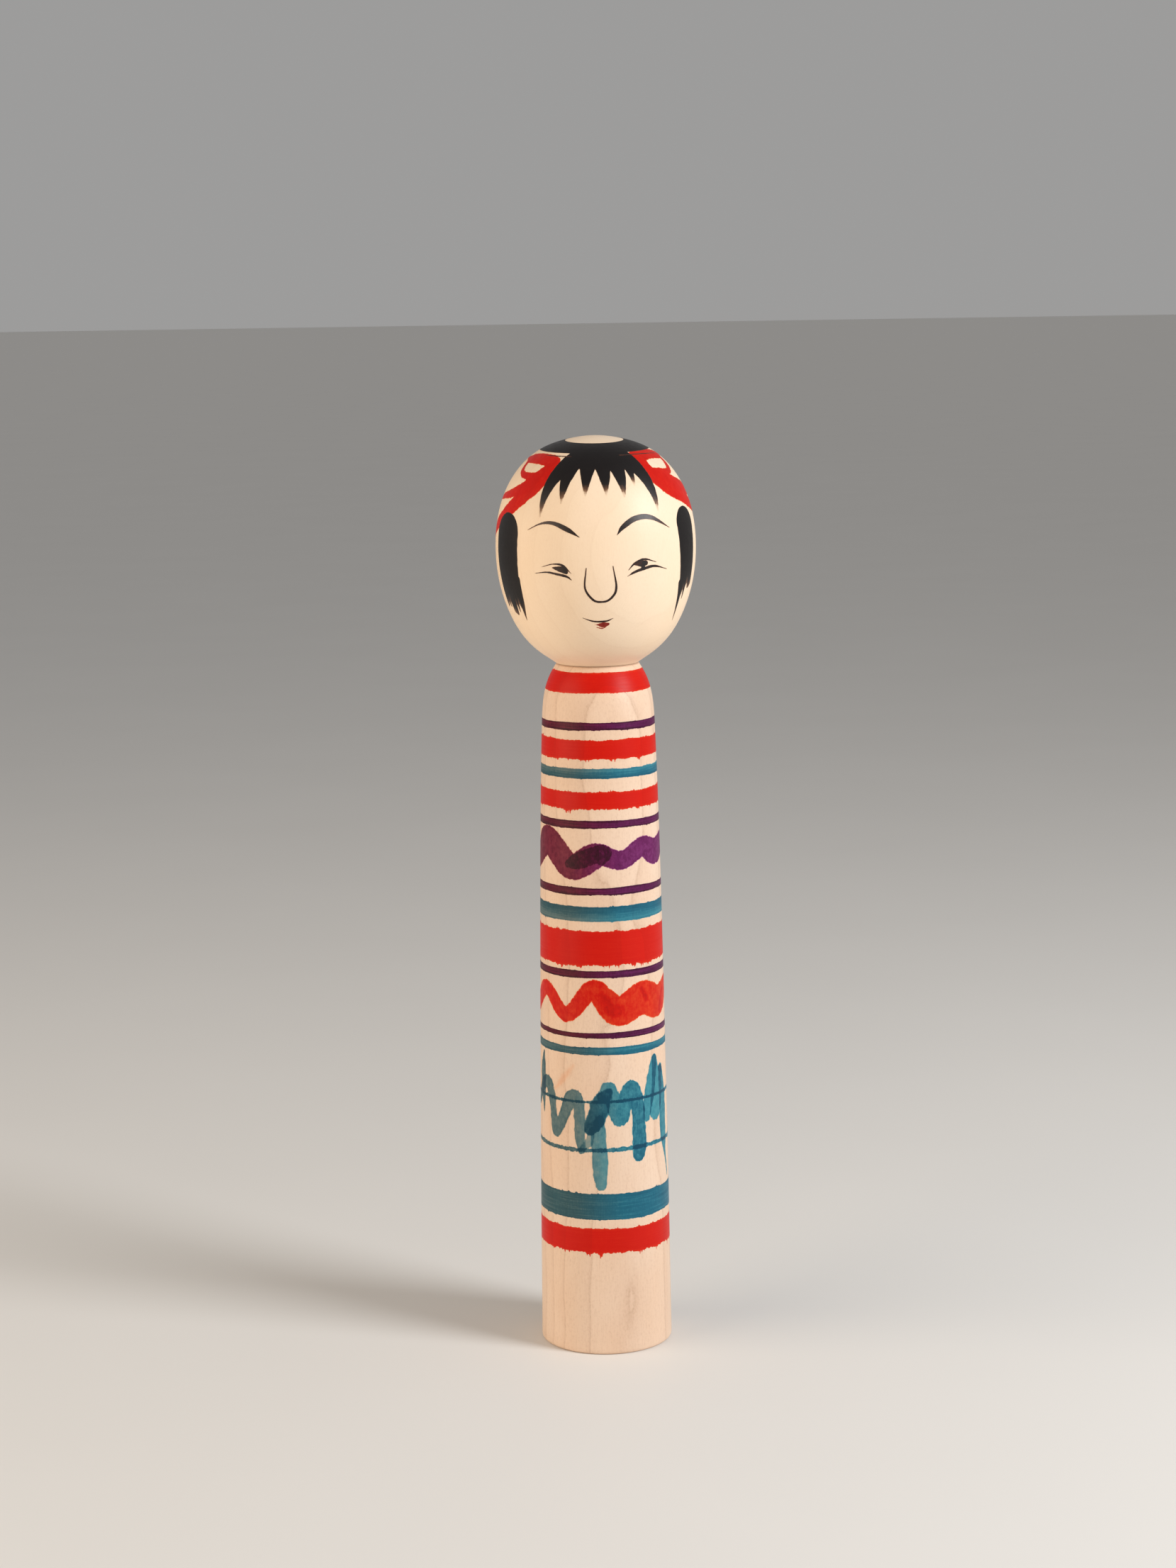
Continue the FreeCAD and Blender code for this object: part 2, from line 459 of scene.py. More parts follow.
class Wood:
    """The nodes of waxed dogwood in one material: its place, colour, grain and height for the bump."""

    def __init__(self, tree, look):
        coordinates = node(tree, "ShaderNodeTexCoord").outputs["Object"]
        scaled = node(tree, "ShaderNodeVectorMath", {0: coordinates, "Scale": 1 / MM}, operation="SCALE")
        self.place = scaled.outputs[0]
        self.fibre = noise_of(tree, self.place, (5.5, 5.5, 0.22), detail=3.0, roughness=0.6)
        self.speckle = noise_of(tree, self.place, (1.9, 1.9, 1.3), detail=3.0, roughness=0.65)
        self.ring, self.line = self.growth_rings(tree, look)
        cloud = noise_of(tree, self.place, (0.055, 0.055, 0.03), detail=2.0)
        share = sums(tree, "MULTIPLY_ADD", sums(tree, "SUBTRACT", cloud, 0.5), 2.2, 0.5, clamp=True)
        base = mix_colours(tree, share, look["pale"], look["warm"])
        amount = sums(tree, "MULTIPLY", self.ring, look["ring_strength"])
        base = mix_colours(tree, amount, base, look["late"])
        amount = sums(tree, "MULTIPLY", self.line, look["line_strength"])
        base = mix_colours(tree, amount, base, look["fleck"])
        coarse = sums(tree, "SUBTRACT", self.speckle, 0.5)
        amount = sums(tree, "MULTIPLY", coarse, look["speckle_strength"], clamp=True)
        base = mix_colours(tree, amount, base, look["late"])
        fine = sums(tree, "SUBTRACT", self.fibre, 0.45)
        amount = sums(tree, "MULTIPLY", fine, look["fibre_strength"], clamp=True)
        base = mix_colours(tree, amount, base, look["late"])
        pores = noise_of(tree, self.place, (2.4, 2.4, 0.7), detail=1.0)
        fleck = sums(tree, "MULTIPLY", sums(tree, "SUBTRACT", pores, 0.68), 6.0, clamp=True)
        base = mix_colours(tree, sums(tree, "MULTIPLY", fleck, look["fleck_strength"]), base, look["fleck"])
        # a brown line of painted shade where the head meets the body
        self.colour = self.painted_seam_shade(tree, base)
        tool = noise_of(tree, self.place, (0.02, 0.02, 2.6), detail=2.0)
        self.height = sums(tree, "MULTIPLY_ADD", tool, 0.6, sums(tree, "MULTIPLY", self.fibre, 0.5))

    def growth_rings(self, tree, look):
        """How late in the year's growth a place is, and the thin dark line where a year ends."""
        turned = node(tree, "ShaderNodeMapping", {"Vector": self.place, "Location": look["pith"],
                                                  "Rotation": look["tilt"]}).outputs[0]
        flat = node(tree, "ShaderNodeVectorMath", {0: turned, 1: (1, 1, 0)}, operation="MULTIPLY")
        length = node(tree, "ShaderNodeVectorMath", {0: flat.outputs[0]}, operation="LENGTH")
        from_pith = length.outputs["Value"]
        bend = noise_of(tree, self.place, (0.03, 0.03, 0.012), detail=3.0)
        years = sums(tree, "MULTIPLY_ADD", from_pith, 1 / look["year"], sums(tree, "MULTIPLY", bend, 2.6))
        season = sums(tree, "FRACT", years)
        line = sums(tree, "POWER", season, 22.0)
        after = sums(tree, "POWER", sums(tree, "SUBTRACT", 1.0, season), 60.0)
        broken = sums(tree, "MULTIPLY_ADD", self.speckle, 1.6, -0.1, clamp=True)
        ring = sums(tree, "POWER", season, 2.5)
        return ring, sums(tree, "MULTIPLY", sums(tree, "ADD", line, after), broken)

    def painted_seam_shade(self, tree, colour):
        """A brown line painted where the head meets the body: painted shade of the narrow gap between them.
        """
        height = node(tree, "ShaderNodeSeparateXYZ", {0: self.place}).outputs["Z"]
        gap = sums(tree, "ABSOLUTE", sums(tree, "SUBTRACT", height, SEAT_HEIGHT))
        near = node(tree, "ShaderNodeMapRange",
                    {"Value": gap, "From Min": 0.36, "From Max": 0.14, "To Max": 0.45})
        return mix_colours(tree, near.outputs[0], colour, (0.27, 0.12, 0.055))


HEAD_WOOD = {
    "pith": (70.0, -120.0, 0.0), "tilt": (0.02, -0.03, 0.0), "year": 4.4,
    "pale": (0.87, 0.69, 0.51), "warm": (0.85, 0.65, 0.455), "late": (0.66, 0.42, 0.25),
    "fleck": (0.45, 0.26, 0.14), "ring_strength": 0.06, "line_strength": 0.05, "speckle_strength": 0.40,
    "fibre_strength": 0.40, "fleck_strength": 0.08,
}
BODY_WOOD = {
    "pith": (24.0, -52.0, 0.0), "tilt": (0.03, -0.06, 0.0), "year": 4.6,
    "pale": (0.79, 0.600, 0.455), "warm": (0.75, 0.525, 0.370), "late": (0.50, 0.29, 0.18),
    "fleck": (0.32, 0.16, 0.085), "ring_strength": 0.12, "line_strength": 0.36, "speckle_strength": 1.0,
    "fibre_strength": 0.65, "fleck_strength": 0.25,
}

# The colour of each dye on wood, from a thin wash to full strength.
RED = [(0.0, (0.74, 0.32, 0.14)), (0.3, (0.66, 0.060, 0.014)), (0.62, (0.56, 0.0075, 0.0020)),
       (1.0, (0.38, 0.0035, 0.0014))]
# VIOLET_LIT_SIDE is the purple dye as drawn on the doll's +X side: partly a real change of hue from MAROON,
# partly painted light where the key lamp falls.
VIOLET_LIT_SIDE = [(0.0, (0.50, 0.24, 0.30)), (0.3, (0.26, 0.050, 0.20)), (0.62, (0.125, 0.012, 0.085)),
          (0.85, (0.052, 0.004, 0.028)), (1.0, (0.030, 0.004, 0.012))]
MAROON = [(0.0, (0.50, 0.22, 0.17)), (0.3, (0.26, 0.040, 0.060)), (0.62, (0.135, 0.010, 0.030)),
          (0.85, (0.050, 0.005, 0.013)), (1.0, (0.030, 0.004, 0.009))]
# One teal dye drawn twice: greyer on the -X side as painted shade, brighter cyan on the +X side as painted
# light.
TEAL_SHADE_SIDE = [(0.0, (0.42, 0.36, 0.27)), (0.3, (0.150, 0.205, 0.195)), (0.62, (0.034, 0.092, 0.110)),
        (1.0, (0.009, 0.046, 0.070))]
TEAL_LIT_SIDE = [(0.0, (0.42, 0.38, 0.30)), (0.3, (0.060, 0.270, 0.320)), (0.62, (0.014, 0.120, 0.180)),
        (1.0, (0.005, 0.055, 0.100))]
INK = [(0.0, (0.36, 0.19, 0.10)), (0.3, (0.10, 0.050, 0.030)), (0.62, (0.014, 0.010, 0.009)),
       (1.0, (0.008, 0.006, 0.006))]
LINE = [(0.0, (0.40, 0.19, 0.09)), (0.3, (0.13, 0.036, 0.016)), (0.62, (0.026, 0.008, 0.005)),
        (1.0, (0.010, 0.005, 0.004))]
LIP = [(0.0, (0.62, 0.30, 0.20)), (0.3, (0.36, 0.050, 0.030)), (0.62, (0.19, 0.015, 0.010)),
       (1.0, (0.07, 0.008, 0.006))]

LATHE_STREAKS = (0.10, 0.10, 3.2)    # noise cells per mm, for dye laid on while the wood turned
BRUSH_MOTTLE = (0.75, 0.75, 0.65)    # the same for dye laid on by a moving brush


def finish(tree, colour, roughness, height, bump, specular):
    bumped = node(tree, "ShaderNodeBump", {"Strength": bump, "Distance": 0.00006, "Height": height})
    shader = node(tree, "ShaderNodeBsdfPrincipled",
                  {"Base Color": colour, "Roughness": roughness, "Normal": bumped.outputs[0],
                   "Specular IOR Level": specular, "IOR": 1.48})
    out = node(tree, "ShaderNodeOutputMaterial")
    tree.links.new(shader.outputs[0], out.inputs["Surface"])


def new_material(name):
    material = bpy.data.materials.new(name)
    material.use_nodes = True
    material.node_tree.nodes.clear()
    return material


def wood_material(name, look):
    material = new_material(name)
    tree = material.node_tree
    wood = Wood(tree, look)
    roughness = sums(tree, "MULTIPLY_ADD", wood.fibre, 0.22, 0.34)
    finish(tree, wood.colour, roughness, wood.height, 0.35, 0.35)
    return material


def dye_material(name, look, dye_colours, cells=BRUSH_MOTTLE, mottle=0.5, level=0.62, specular=0.14,
                 right=None):
    """Dye that has sunk into the wood, so the grain shows through it where the dye is thin.

    dye_colours are its colours from a thin wash to full strength, and right is what they turn to on the
    doll's +X side, if that differs. That change is painted light: the side that the key lamp lights is drawn
    brighter, and for the purple dye it is partly a real change of hue too."""
    material = new_material(name)
    tree = material.node_tree
    wood = Wood(tree, look)
    dye = node(tree, "ShaderNodeAttribute", attribute_name="dye").outputs["Fac"]
    cloud = noise_of(tree, wood.place, cells, detail=4.0, roughness=0.62)
    varied = sums(tree, "MULTIPLY_ADD", sums(tree, "SUBTRACT", cloud, 0.5), 2 * mottle, 1.0)
    varied = sums(tree, "MULTIPLY_ADD", sums(tree, "SUBTRACT", wood.speckle, 0.5), 0.9 * mottle, varied)
    varied = sums(tree, "MULTIPLY_ADD", sums(tree, "SUBTRACT", wood.fibre, 0.5), 0.7 * mottle, varied)
    strength = sums(tree, "MULTIPLY", sums(tree, "MULTIPLY", dye, varied), level)
    dyed = colour_ramp(tree, strength, dye_colours)
    # painted light: towards +X, where the key lamp falls, the colour turns to the lit-side ramp
    if right:
        across = node(tree, "ShaderNodeSeparateXYZ", {0: wood.place}).outputs["X"]
        wander = sums(tree, "MULTIPLY_ADD", cloud, 5.0, across)
        share = node(tree, "ShaderNodeMapRange", {"Value": wander, "From Min": -5.0, "From Max": 7.0})
        dyed = mix_colours(tree, share.outputs[0], dyed, colour_ramp(tree, strength, right))
    shadow = sums(tree, "MULTIPLY_ADD", wood.ring, -0.06, 1.0)
    grey = node(tree, "ShaderNodeCombineColor", {0: shadow, 1: shadow, 2: shadow}).outputs[0]
    dyed = mix_colours(tree, 1.0, dyed, grey, blend="MULTIPLY")
    cover = node(tree, "ShaderNodeMapRange", {"Value": strength, "From Max": 0.16}).outputs[0]
    colour = mix_colours(tree, cover, wood.colour, dyed)
    roughness = sums(tree, "MULTIPLY_ADD", cloud, 0.22, 0.30)
    finish(tree, colour, roughness, wood.height, 0.3, specular)
    return material


def dress(piece, material):
    piece.data.materials.clear()
    piece.data.materials.append(material)
    return piece


# ---------------------------------------------------------------- camera, lights and floor

LENS = 67.6                       # for a 36 mm sensor along the image's long side
CAMERA_PLACE = (0.0, -765.0, 274.0)
CAMERA_PITCH, CAMERA_YAW, CAMERA_ROLL = -9.15, 0.22, -0.86


def make_camera():
    data = bpy.data.cameras.new("camera")
    data.lens, data.sensor_width = LENS, 36.0
    camera = new_object("camera", data)
    turn = Matrix.Rotation(math.radians(CAMERA_YAW), 4, "Z")
    tilt = Matrix.Rotation(math.radians(90 + CAMERA_PITCH), 4, "X")
    roll = Matrix.Rotation(math.radians(CAMERA_ROLL), 4, "Z")
    camera.matrix_world = Matrix.Translation(Vector(CAMERA_PLACE) * MM) @ turn @ tilt @ roll
    bpy.context.scene.camera = camera


def make_light(name, place, target, size, power, colour):
    data = bpy.data.lights.new(name, "AREA")
    data.shape, data.size, data.energy, data.color = "DISK", size, power, colour
    light = new_object(name, data)
    light.location = Vector(place)
    light.rotation_euler = (Vector(target) - Vector(place)).to_track_quat("-Z", "Y").to_euler()


def make_stage():
    mesh = bpy.data.meshes.new("floor")
    mesh.from_pydata([(-60, -60, 0), (60, -60, 0), (60, 60, 0), (-60, 60, 0)], [], [(0, 1, 2, 3)])
    floor = new_object("floor", mesh)
    material = new_material("floor_pale")
    tree = material.node_tree
    place = node(tree, "ShaderNodeTexCoord").outputs["Object"]
    cloud = node(tree, "ShaderNodeTexNoise", {"Vector": place, "Scale": 9.0, "Detail": 2.0}).outputs["Fac"]
    colour = mix_colours(tree, cloud, (0.74, 0.72, 0.69), (0.77, 0.75, 0.72))
    shader = node(tree, "ShaderNodeBsdfPrincipled", {"Base Color": colour, "Roughness": 0.6})
    out = node(tree, "ShaderNodeOutputMaterial")
    tree.links.new(shader.outputs[0], out.inputs["Surface"])
    mesh.materials.append(material)
    world = bpy.data.worlds.new("studio")
    world.use_nodes = True
    world.node_tree.nodes["Background"].inputs["Color"].default_value = (0.96, 0.95, 0.94, 1)
    world.node_tree.nodes["Background"].inputs["Strength"].default_value = 0.35
    bpy.context.scene.world = world
    middle = (0, 0, 0.13)
    make_light("key", (0.78, -0.40, 0.60), middle, 0.40, 9.2, (0.97, 0.985, 1.0))
    make_light("fill", (-0.80, -0.36, 0.34), middle, 0.9, 6.2, (1.0, 0.83, 0.64))
    bpy.context.scene.view_settings.view_transform = "Standard"


make_camera()
make_stage()

# ---------------------------------------------------------------- the turned wood

head_wood = turned_piece("head_wood", TENON + thinned(head_outline, OUTLINE_STEP))
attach(head_wood, "head")
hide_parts("head")
dress(head_wood, wood_material("head_wood", HEAD_WOOD))

body_wood = turned_piece("body_wood", FOOT + thinned(body_outline, OUTLINE_STEP) + SOCKET)
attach(body_wood, "body")
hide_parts("body")
dress(body_wood, wood_material("body_wood", BODY_WOOD))

# ---------------------------------------------------------------- the body's bands

red_band = dye_material("red_band_dye", BODY_WOOD, RED, LATHE_STREAKS, mottle=0.12)
# the purple and teal band dyes hold painted light: their colour turns brighter towards the lit +X side
purple_band = dye_material("purple_band_dye", BODY_WOOD, MAROON, LATHE_STREAKS, mottle=0.4, right=VIOLET_LIT_SIDE)
teal_band = dye_material("teal_band_dye", BODY_WOOD, TEAL_SHADE_SIDE, LATHE_STREAKS, mottle=0.44, right=TEAL_LIT_SIDE)
BAND_LIFT = 0.02
EVEN = (0.95, 1.0, 1.0, 0.95)
DARK_EDGES = (1.5, 1.22, 1.18, 1.42)
BANDS = [  # name, material, slot, bottom, top, bleed down and up, dye from bottom to top
    ("neck_red", red_band, "red_dye", 176.5, 181.5, (0.22, 0.12), EVEN),
    ("purple_line_1", purple_band, "purple_dye", 167.0, 169.0, (0.16, 0.12), DARK_EDGES),
    ("chest_red", red_band, "red_dye", 159.5, 164.5, (0.50, 0.34), EVEN),
    ("chest_teal", teal_band, "teal_dye", 154.5, 157.0, (0.16, 0.20), (1.25, 1.1, 0.8, 0.85)),
    ("upper_red", red_band, "red_dye", 146.5, 151.0, (0.80, 0.46), EVEN),
    ("purple_line_2", purple_band, "purple_dye", 141.5, 143.5, (0.20, 0.10), DARK_EDGES),
    ("purple_line_3", purple_band, "purple_dye", 124.0, 126.0, (0.18, 0.10), DARK_EDGES),
    ("middle_teal", teal_band, "teal_dye", 117.0, 121.0, (0.20, 0.22), (0.85, 0.72, 1.2, 1.2)),
    ("middle_red", red_band, "red_dye", 105.5, 114.5, (0.80, 0.52), EVEN),
    ("purple_line_4", purple_band, "purple_dye", 102.0, 104.0, (0.12, 0.14), DARK_EDGES),
    ("purple_line_5", purple_band, "purple_dye", 86.0, 87.5, (0.14, 0.10), DARK_EDGES),
    ("lower_teal", teal_band, "teal_dye", 81.5, 83.5, (0.16, 0.14), (1.2, 1.0, 0.85, 1.1)),
    ("foot_teal", teal_band, "teal_dye", 37.0, 44.0, (0.26, 0.28), (1.15, 1.0, 1.05, 1.2)),
    ("foot_red", red_band, "red_dye", 28.0, 34.5, (0.85, 0.36), EVEN),
]
for count, (name, material, slot, low, high, bleed, loads) in enumerate(BANDS):
    dress(band(name, low, high, bleed, loads, 100 + 20 * count, BAND_LIFT), material)

# ---------------------------------------------------------------- the body's waves and brushwork

# the purple wave and teal brushwork dyes hold painted light: their colour turns brighter towards the lit +X
# side
purple_brush = dye_material("purple_wave_dye", BODY_WOOD, MAROON, mottle=0.42, right=VIOLET_LIT_SIDE)
red_brush = dye_material("red_wave_dye", BODY_WOOD, RED, mottle=0.5)
teal_brush = dye_material("teal_brush_dye", BODY_WOOD, TEAL_SHADE_SIDE, mottle=0.55, right=TEAL_LIT_SIDE)
WAVE_LIFT = 0.03

PURPLE_WAVE = [  # two strokes that meet at the front and at the back
    swings(-156, -90, 132, 136, 6, 3) + [(-60, 137.5, 8), (-30, 131.5, 7), (-12, 133, 6.5), (2, 135, 5)],
    [(-32, 132, 2), (-22, 133, 4.5), (-4, 135, 5.5), (20, 133, 5), (44, 136, 5.5), (64, 134, 7)]
    + swings(96, 204, 136, 132, 6, 4),
]
purple_strokes = [Stroke(BODY, points, load=(1.0, 0.9)) for points in PURPLE_WAVE]
purple_paint = brushwork(BODY, purple_strokes, ragged=0.14, seed=11, pool=0.3, most=1.42)
dress(painted("purple_wave", BODY, purple_paint, (-180, 180), (124, 146), 0.2, WAVE_LIFT),
      purple_brush)

RED_WAVE = (swings(-152, -92, 92.5, 97.5, 4.8, 3)
            + [(-62, 98, 4.3), (-35, 92, 4.2), (-10, 99, 5), (2, 96.5, 6.5), (15, 93, 7.6), (40, 96, 9),
               (62, 94, 8.5)]
            + swings(88, 208, 97.5, 92.5, 5, 6))
red_wave = [
    Stroke(BODY, RED_WAVE, load=(1.05, 0.68)),
    Stroke(BODY, [(0, 97.5, 2.5), (9, 93.5, 4), (17, 93.5, 3)], load=(0.32, 0.3), soft=1.0),
    Stroke(BODY, [(39, 98.5, 1.5), (45, 95.5, 2)], load=(0.45, 0.35), soft=0.7),
    Stroke(BODY, [(73, 96.5, 2), (65, 91.5, 2)], load=(0.4, 0.4), soft=0.8),
]
dress(painted("red_wave", BODY, brushwork(BODY, red_wave, ragged=0.16, seed=21, pool=0.12), (-180, 180),
              (86, 104.5), 0.24, WAVE_LIFT), red_brush)

SCRIBBLE = [  # points and dye of each stroke, from the left round to the back
    ([(-69, 80.5, 0.8), (-71, 76, 3.2), (-71, 70, 3.2), (-69, 64, 0.4)], (0.9, 0.8)),
    ([(-84, 66, 2.2), (-70, 71.5, 3.3), (-58, 72, 3.6), (-52, 65, 2.8), (-49, 60, 3), (-43, 62, 3.2),
      (-30, 70, 3.8), (-23, 68, 3.4), (-22.5, 60, 3), (-21, 56, 2.5)], (0.82, 0.62)),
    ([(-20, 56.5, 1.5), (-14, 58, 2.5), (-11, 61.5, 1.5)], (0.35, 0.3)),
    ([(-12.5, 61.5, 3.2), (-7, 64.5, 5.2), (-2, 69, 4.8), (4.5, 71.5, 2.4)], (1.5, 0.85)),
    ([(-4, 64.5, 2.2), (-5, 60, 4), (-4, 52, 4.2), (-3.5, 46.5, 3)], (0.62, 0.54)),
    ([(0, 70.5, 3.6), (5, 72.5, 3.8), (11, 67, 4.5), (15, 64.5, 4.4), (20, 69.5, 4.4), (26, 72.5, 4),
      (32, 68, 4), (33.5, 58, 4.5), (32.5, 54, 3.8)], (0.66, 0.95)),
    ([(42, 63.5, 2.4), (45, 68.5, 3.8), (50, 75, 3.6), (53.5, 79, 2.4)], (0.62, 0.66)),
    ([(53.5, 79, 2.2), (56, 73, 3.8), (53, 65, 4.3), (57, 66, 4), (63.5, 75.5, 2.4)], (0.58, 0.58)),
    ([(63.5, 76, 2.2), (67, 68, 3.8), (68, 58, 3.8), (71, 52, 1.3), (77, 45.5, 0.5)], (0.8, 0.6)),
    (swings(92, 146, 56.5, 71.5, 3, 5), (0.75, 0.7)),
    ([(143, 70, 3.2), (141, 56, 4), (142, 47, 3)], (0.55, 0.5)),
    (swings(152, 252, 57.5, 72, 3.1, 7), (0.75, 0.7)),
]
teal_scribble = [Stroke(BODY, points, load, soft=0.5 if load[0] > 1 else None) for points, load in SCRIBBLE]
THIN_LINES = ((69, 0.15, 0.8, 0.95), (56, 0.2, 1.15, 0.8))  # height, sway, width and dye of each
for height, sway, width, load in THIN_LINES:
    points = [(angle, height + sway * math.sin(math.radians(2 * angle)), width)
              for angle in range(-180, 180, 15)]
    teal_scribble.append(Stroke(BODY, points, (load, load), closed=True, soft=0.2))
dress(painted("teal_brushwork", BODY,
              brushwork(BODY, teal_scribble, ragged=0.17, seed=31, pool=0.28, soft=0.3),
              (-180, 180), (43.8, 84.0), 0.2, WAVE_LIFT), teal_brush)

smudge = [Stroke(BODY, [(-49, 71.5, 1.5), (-38, 75, 2.6), (-28, 78.5, 1.5)], (0.10, 0.07), soft=1.0)]
dress(painted("red_smudge", BODY, brushwork(BODY, smudge, ragged=0.2, seed=39),
              (-55, -22), (69.5, 80.5), 0.2, WAVE_LIFT), red_brush)

# ---------------------------------------------------------------- hair, ornaments and face

hair_ink = dye_material("hair_ink", HEAD_WOOD, INK, mottle=0.3, specular=0.25)
line_ink = dye_material("line_ink", HEAD_WOOD, LINE, mottle=0.35, level=0.9, specular=0.4)
ornament_red = dye_material("ornament_dye", HEAD_WOOD, RED, mottle=0.22)
lip_dye = dye_material("lip_dye", HEAD_WOOD, LIP, mottle=0.5)
ORNAMENT_LIFT, HAIR_LIFT, LINE_LIFT = 0.02, 0.03, 0.035


def head_stroke(points, load=(1.0, 1.0)):
    return Stroke(HEAD, points, load, shift=FACE_TURN)


FRINGE_ROOT = 15.0
FRINGE = [  # angle at the root, angle at the tip, how far down the tip is, width at the root
    (-13, -36, 34.5, 5), (-14, -23, 31, 5), (-6, -8, 29, 5), (2, 5, 29, 5), (10, 16.5, 29.5, 5),
    (17, 25, 26.5, 3), (20, 38, 33.5, 5),
]
RING_INNER = (0.0, -2.5, 7.5)   # centre and radius of the bare spot, seen from above
RING_OUTER = (0.0, -1.0, 14.0)


def tuft(root, tip, reach, width):
    """One pointed tuft of the fringe. It leaves the ring sideways and then hangs straight."""
    t = np.linspace(0, 1, 7)
    angles = tip + (root - tip) * (1 - t) ** 2.5
    alongs = FRINGE_ROOT + (reach - FRINGE_ROOT) * t
    return list(zip(angles, alongs, 0.4 + width * (1 - t ** 1.4)))


def hair_paint(angle, along):
    """The ring round the crown, a little forward of the middle, and the fringe that grows out of it."""
    strokes = [head_stroke(tuft(*shape), (1.6, 0.12)) for shape in FRINGE]
    depth, dye = brushwork(HEAD, strokes, ragged=0.06, fade=0.66, seed=41, soft=0.12)(angle, along)
    places = HEAD.place(angle, along)
    from_spot = np.hypot(places[..., 0] - RING_INNER[0], places[..., 1] - RING_INNER[1]) - RING_INNER[2]
    to_rim = RING_OUTER[2] - np.hypot(places[..., 0] - RING_OUTER[0], places[..., 1] - RING_OUTER[1])
    wobble = 0.22 * (noise(angle, 0, 8.0, 1.0, 47) - 0.5)
    ring = np.minimum(to_rim + wobble, from_spot)
    dye = np.maximum(dye, 1.5 * ramp(ring, -0.05, 0.15))
    return np.maximum(depth, ring), np.minimum(dye, 1.7)


dress(painted("hair_ring_and_fringe", HEAD, hair_paint, (-180, 180), (4.0, 35.5), 0.2, HAIR_LIFT),
      hair_ink)

HAIR_LINES = {
    "hair_line_left": [(-56, 16.5, 0.1), (-40, 16.8, 0.35), (-24, 17, 0.3)],
    "hair_line_right": [(22, 16.7, 0.3), (50, 16.5, 0.3), (78, 16.8, 0.1)],
}
for name, points in HAIR_LINES.items():
    angles = (points[0][0] + FACE_TURN - 2, points[-1][0] + FACE_TURN + 2)
    paint = brushwork(HEAD, [head_stroke(points, (0.9, 0.9))], ragged=0.03, seed=51, soft=0.12)
    dress(painted(name, HEAD, paint, angles, (15.8, 17.8), 0.08, LINE_LIFT), line_ink)

LOCKS = {  # the lock's own stroke, where its solid part ends at each side, a loose strand, the hairs' length
    "lock_left": {
        "bar": [(-64.5, 39.5, 11.2), (-64.5, 46, 11), (-64, 53, 9.8), (-64.5, 60, 8)],
        "end": [(-79, 54), (-52, 58.5)],
        "strand": [(-54.5, 51, 2.6), (-54, 57, 1.8), (-55, 62, 0.2)],
        "hair": 6.4,
    },
    "lock_right": {
        "bar": [(62.5, 37.5, 9.2), (63, 44, 8.4), (63.5, 50, 7.5), (65, 60, 5.5)],
        "end": [(52, 54.5), (75, 51.5)],
        "strand": [(57, 52.5, 2.2), (58.5, 59, 0.8), (60, 63, 0.2)],
        "hair": 5.4,
    },
}


def lock_paint(lock, seed):
    """A lock of hair beside the face, from its round top to the separate hairs of its frayed end."""
    def paint(angle, along):
        bar = head_stroke(lock["bar"], (1.6, 1.6))
        depth, dye = brushwork(HEAD, [bar], ragged=0.05, seed=seed, soft=0.12)(angle, along)
        end = np.interp(angle - FACE_TURN, *np.array(lock["end"]).T)
        single = noise(angle, along, 0.5, 40.0, seed + 5)
        clumps = noise(angle, along, 1.7, 60.0, seed + 6)
        hairs = 0.65 * single + 0.35 * clumps
        left = end + lock["hair"] * (1.7 * hairs - 0.45) - along
        depth = np.minimum(depth, left * 0.16)
        dye = dye * (0.25 + 0.75 * ramp(left, 0.0, 3.6))
        loose = [head_stroke(lock["strand"], (1.6, 0.4))]
        strand = brushwork(HEAD, loose, ragged=0.03, seed=seed + 8, soft=0.12)
        strand_depth, strand_dye = strand(angle, along)
        return np.maximum(depth, strand_depth), np.maximum(dye, strand_dye)
    return paint


for name, angles, seed in (("lock_left", (-80, -49), 61), ("lock_right", (50, 76), 71)):
    dress(painted(name, HEAD, lock_paint(LOCKS[name], seed), (angles[0] + FACE_TURN, angles[1] + FACE_TURN),
                  (32, 66), 0.12, HAIR_LIFT), hair_ink)

ORNAMENTS = {  # a bow of red ribbon each side: its loop's top and bottom, and its two tails
    "ornament_left": [
        [(-98, 18, 0.4), (-84, 18, 1.4), (-72, 18, 3.6), (-54, 18, 4), (-40, 19, 4.4), (-37, 22, 5)],
        [(-74, 19.5, 2), (-71, 22, 1.8), (-63, 23.5, 1.8), (-48, 24, 3)],
        [(-48, 25.5, 5), (-58, 27.5, 3.8), (-70, 29, 2.6), (-84, 30, 1.7), (-99, 31.5, 0.3)],
        [(-38, 22, 5.5), (-48, 26.5, 6.5), (-60, 31.5, 4.8), (-72, 35, 4), (-84, 38, 3.4),
         (-97, 42.5, 0.5)],
    ],
    "ornament_right": [
        [(98, 17, 0.4), (86, 17, 1.4), (74, 17, 3.8), (54, 16.5, 4.4), (40, 17.5, 5), (38, 20.5, 5)],
        [(77, 18.5, 2), (74, 21, 2.2), (66, 23, 2), (48, 23, 3)],
        [(58, 25, 4), (70, 27, 4), (82, 28.5, 4), (91, 29.5, 2.2), (99, 30, 0.3)],
        [(38, 20.5, 4.8), (44, 24, 5), (54, 27, 6), (66, 29.5, 5.4), (78, 32, 4.4), (88, 34, 2.8),
         (99, 37, 0.4)],
    ],
}
for name, angles, seed in (("ornament_left", (-102, -28), 81), ("ornament_right", (30, 104), 91)):
    strokes = [head_stroke(points) for points in ORNAMENTS[name]]
    paint = brushwork(HEAD, strokes, ragged=0.14, seed=seed, soft=0.3, pool=0.05, most=1.05)
    dress(painted(name, HEAD, paint, angles, (13.5, 44), 0.16, ORNAMENT_LIFT), ornament_red)

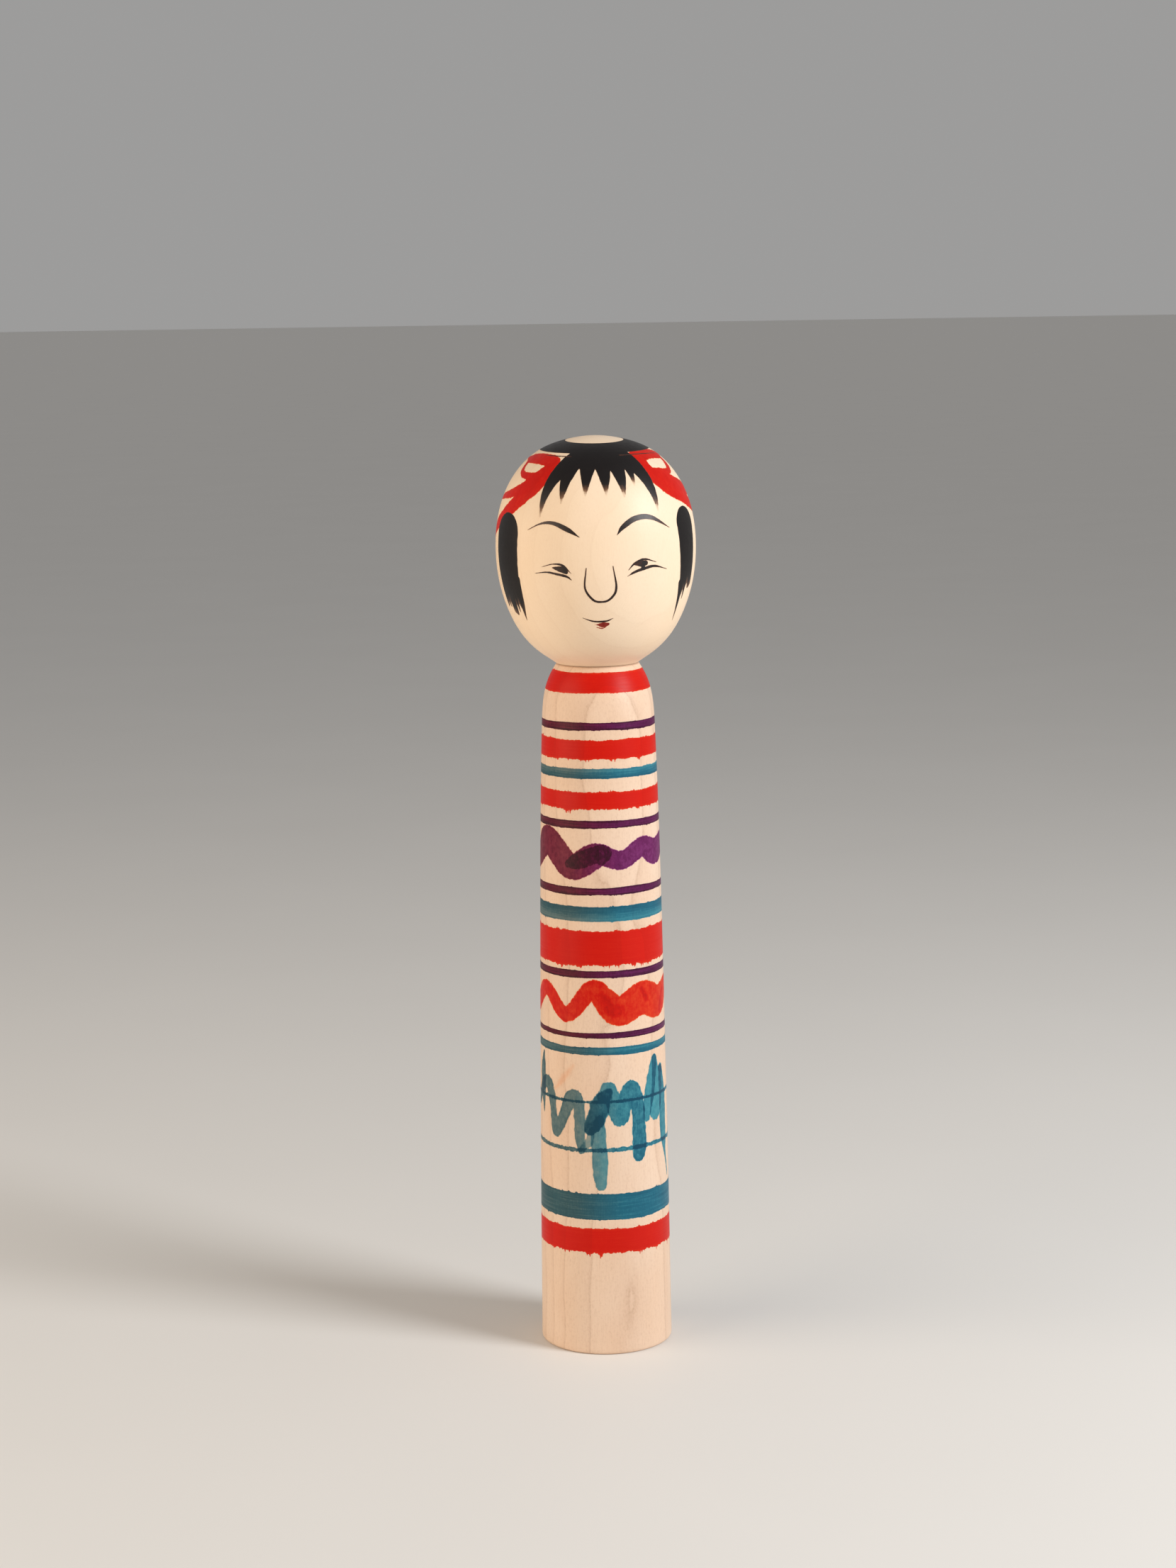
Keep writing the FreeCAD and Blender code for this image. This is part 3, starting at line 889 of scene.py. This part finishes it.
FACE = {  # name: strokes, each as points and dye
    "brow_left": [([(-44, 38, 0.1), (-35, 36.3, 0.5), (-27, 36.1, 1), (-18, 37.7, 1.2), (-11, 39.6, 0.1)],
                   (0.6, 1.2))],
    "brow_right": [([(10, 39.2, 0.1), (14, 37.1, 1.2), (22, 35.1, 1.4), (32, 35.1, 1.2), (45, 38, 0.1)],
                    (1.2, 0.7))],
    "eye_left": [
        ([(-34, 47.2, 0.1), (-27, 46.4, 0.3), (-21, 46.7, 0.6), (-16, 48.8, 0.1)], (1.0, 1.0)),
        ([(-27, 47.3, 0.4), (-23, 47.6, 1.4), (-21, 47.8, 1.6), (-19, 48.4, 1.0)], (0.7, 1.1)),
        ([(-39, 48.9, 0.1), (-31, 48.5, 0.4), (-25, 48.9, 0.6), (-19, 49.5, 0.6), (-16, 50.4, 0.1)],
         (1.0, 1.0)),
    ],
    "eye_right": [
        ([(16.5, 48.1, 0.1), (20, 46.5, 0.5), (26, 45.5, 0.5), (34, 46.4, 0.1)], (1.0, 1.0)),
        ([(20, 46.8, 0.2), (24.5, 47.2, 0.5)], (0.8, 0.9)),
        ([(21, 46.6, 0.4), (24, 46.5, 1.2), (26.5, 46.5, 1.4), (27.5, 46.5, 0.8)], (0.6, 0.9)),
        ([(26, 46.4, 1.1), (25, 47.9, 1.0)], (0.9, 1.0)),
        ([(16, 49.7, 0.1), (20, 48.7, 0.6), (26, 47.9, 0.8), (33, 47.4, 0.6), (42, 48.4, 0.1)], (1.0, 1.0)),
    ],
    "nose": [([(-7.5, 47.4, 0.2), (-8.5, 52.5, 0.5), (-4, 55.6, 0.6), (1, 56.2, 0.5), (6, 55.5, 0.6),
               (9.5, 52.8, 0.6), (7.5, 47, 0.2)], (1.0, 1.0))],
    "mouth": [([(-11, 60.6, 0.1), (-4, 61.6, 0.4), (4, 61.6, 0.5), (8.5, 60.8, 0.1)], (1.0, 1.0))],
}
for count, (name, strokes) in enumerate(FACE.items()):
    made = [head_stroke(points, load) for points, load in strokes]
    spots = np.vstack([np.array(points) for points, _ in strokes])
    angles = (spots[:, 0].min() + FACE_TURN - 3, spots[:, 0].max() + FACE_TURN + 3)
    alongs = (spots[:, 1].min() - 1.2, spots[:, 1].max() + 1.2)
    paint = brushwork(HEAD, made, ragged=0.03, seed=200 + 10 * count, soft=0.13)
    dress(painted(name, HEAD, paint, angles, alongs, 0.07, LINE_LIFT), line_ink)

LIP_STROKES = [
    ([(-1.5, 62.6, 0.4), (2.5, 62.7, 1.5), (5.5, 62.4, 0.6)], (0.9, 0.9)),
    ([(-2, 63.4, 0.2), (2, 63.7, 0.3), (6, 62.6, 0.2)], (0.9, 0.7)),
    ([(-3.5, 62.5, 0.1), (-1, 62.7, 0.2)], (0.4, 0.7)),
]
made = [head_stroke(points, load) for points, load in LIP_STROKES]
dress(painted("lip", HEAD, brushwork(HEAD, made, ragged=0.05, seed=301, soft=0.15),
              (-6 + FACE_TURN, 9 + FACE_TURN), (61.4, 64.6), 0.07, ORNAMENT_LIFT), lip_dye)
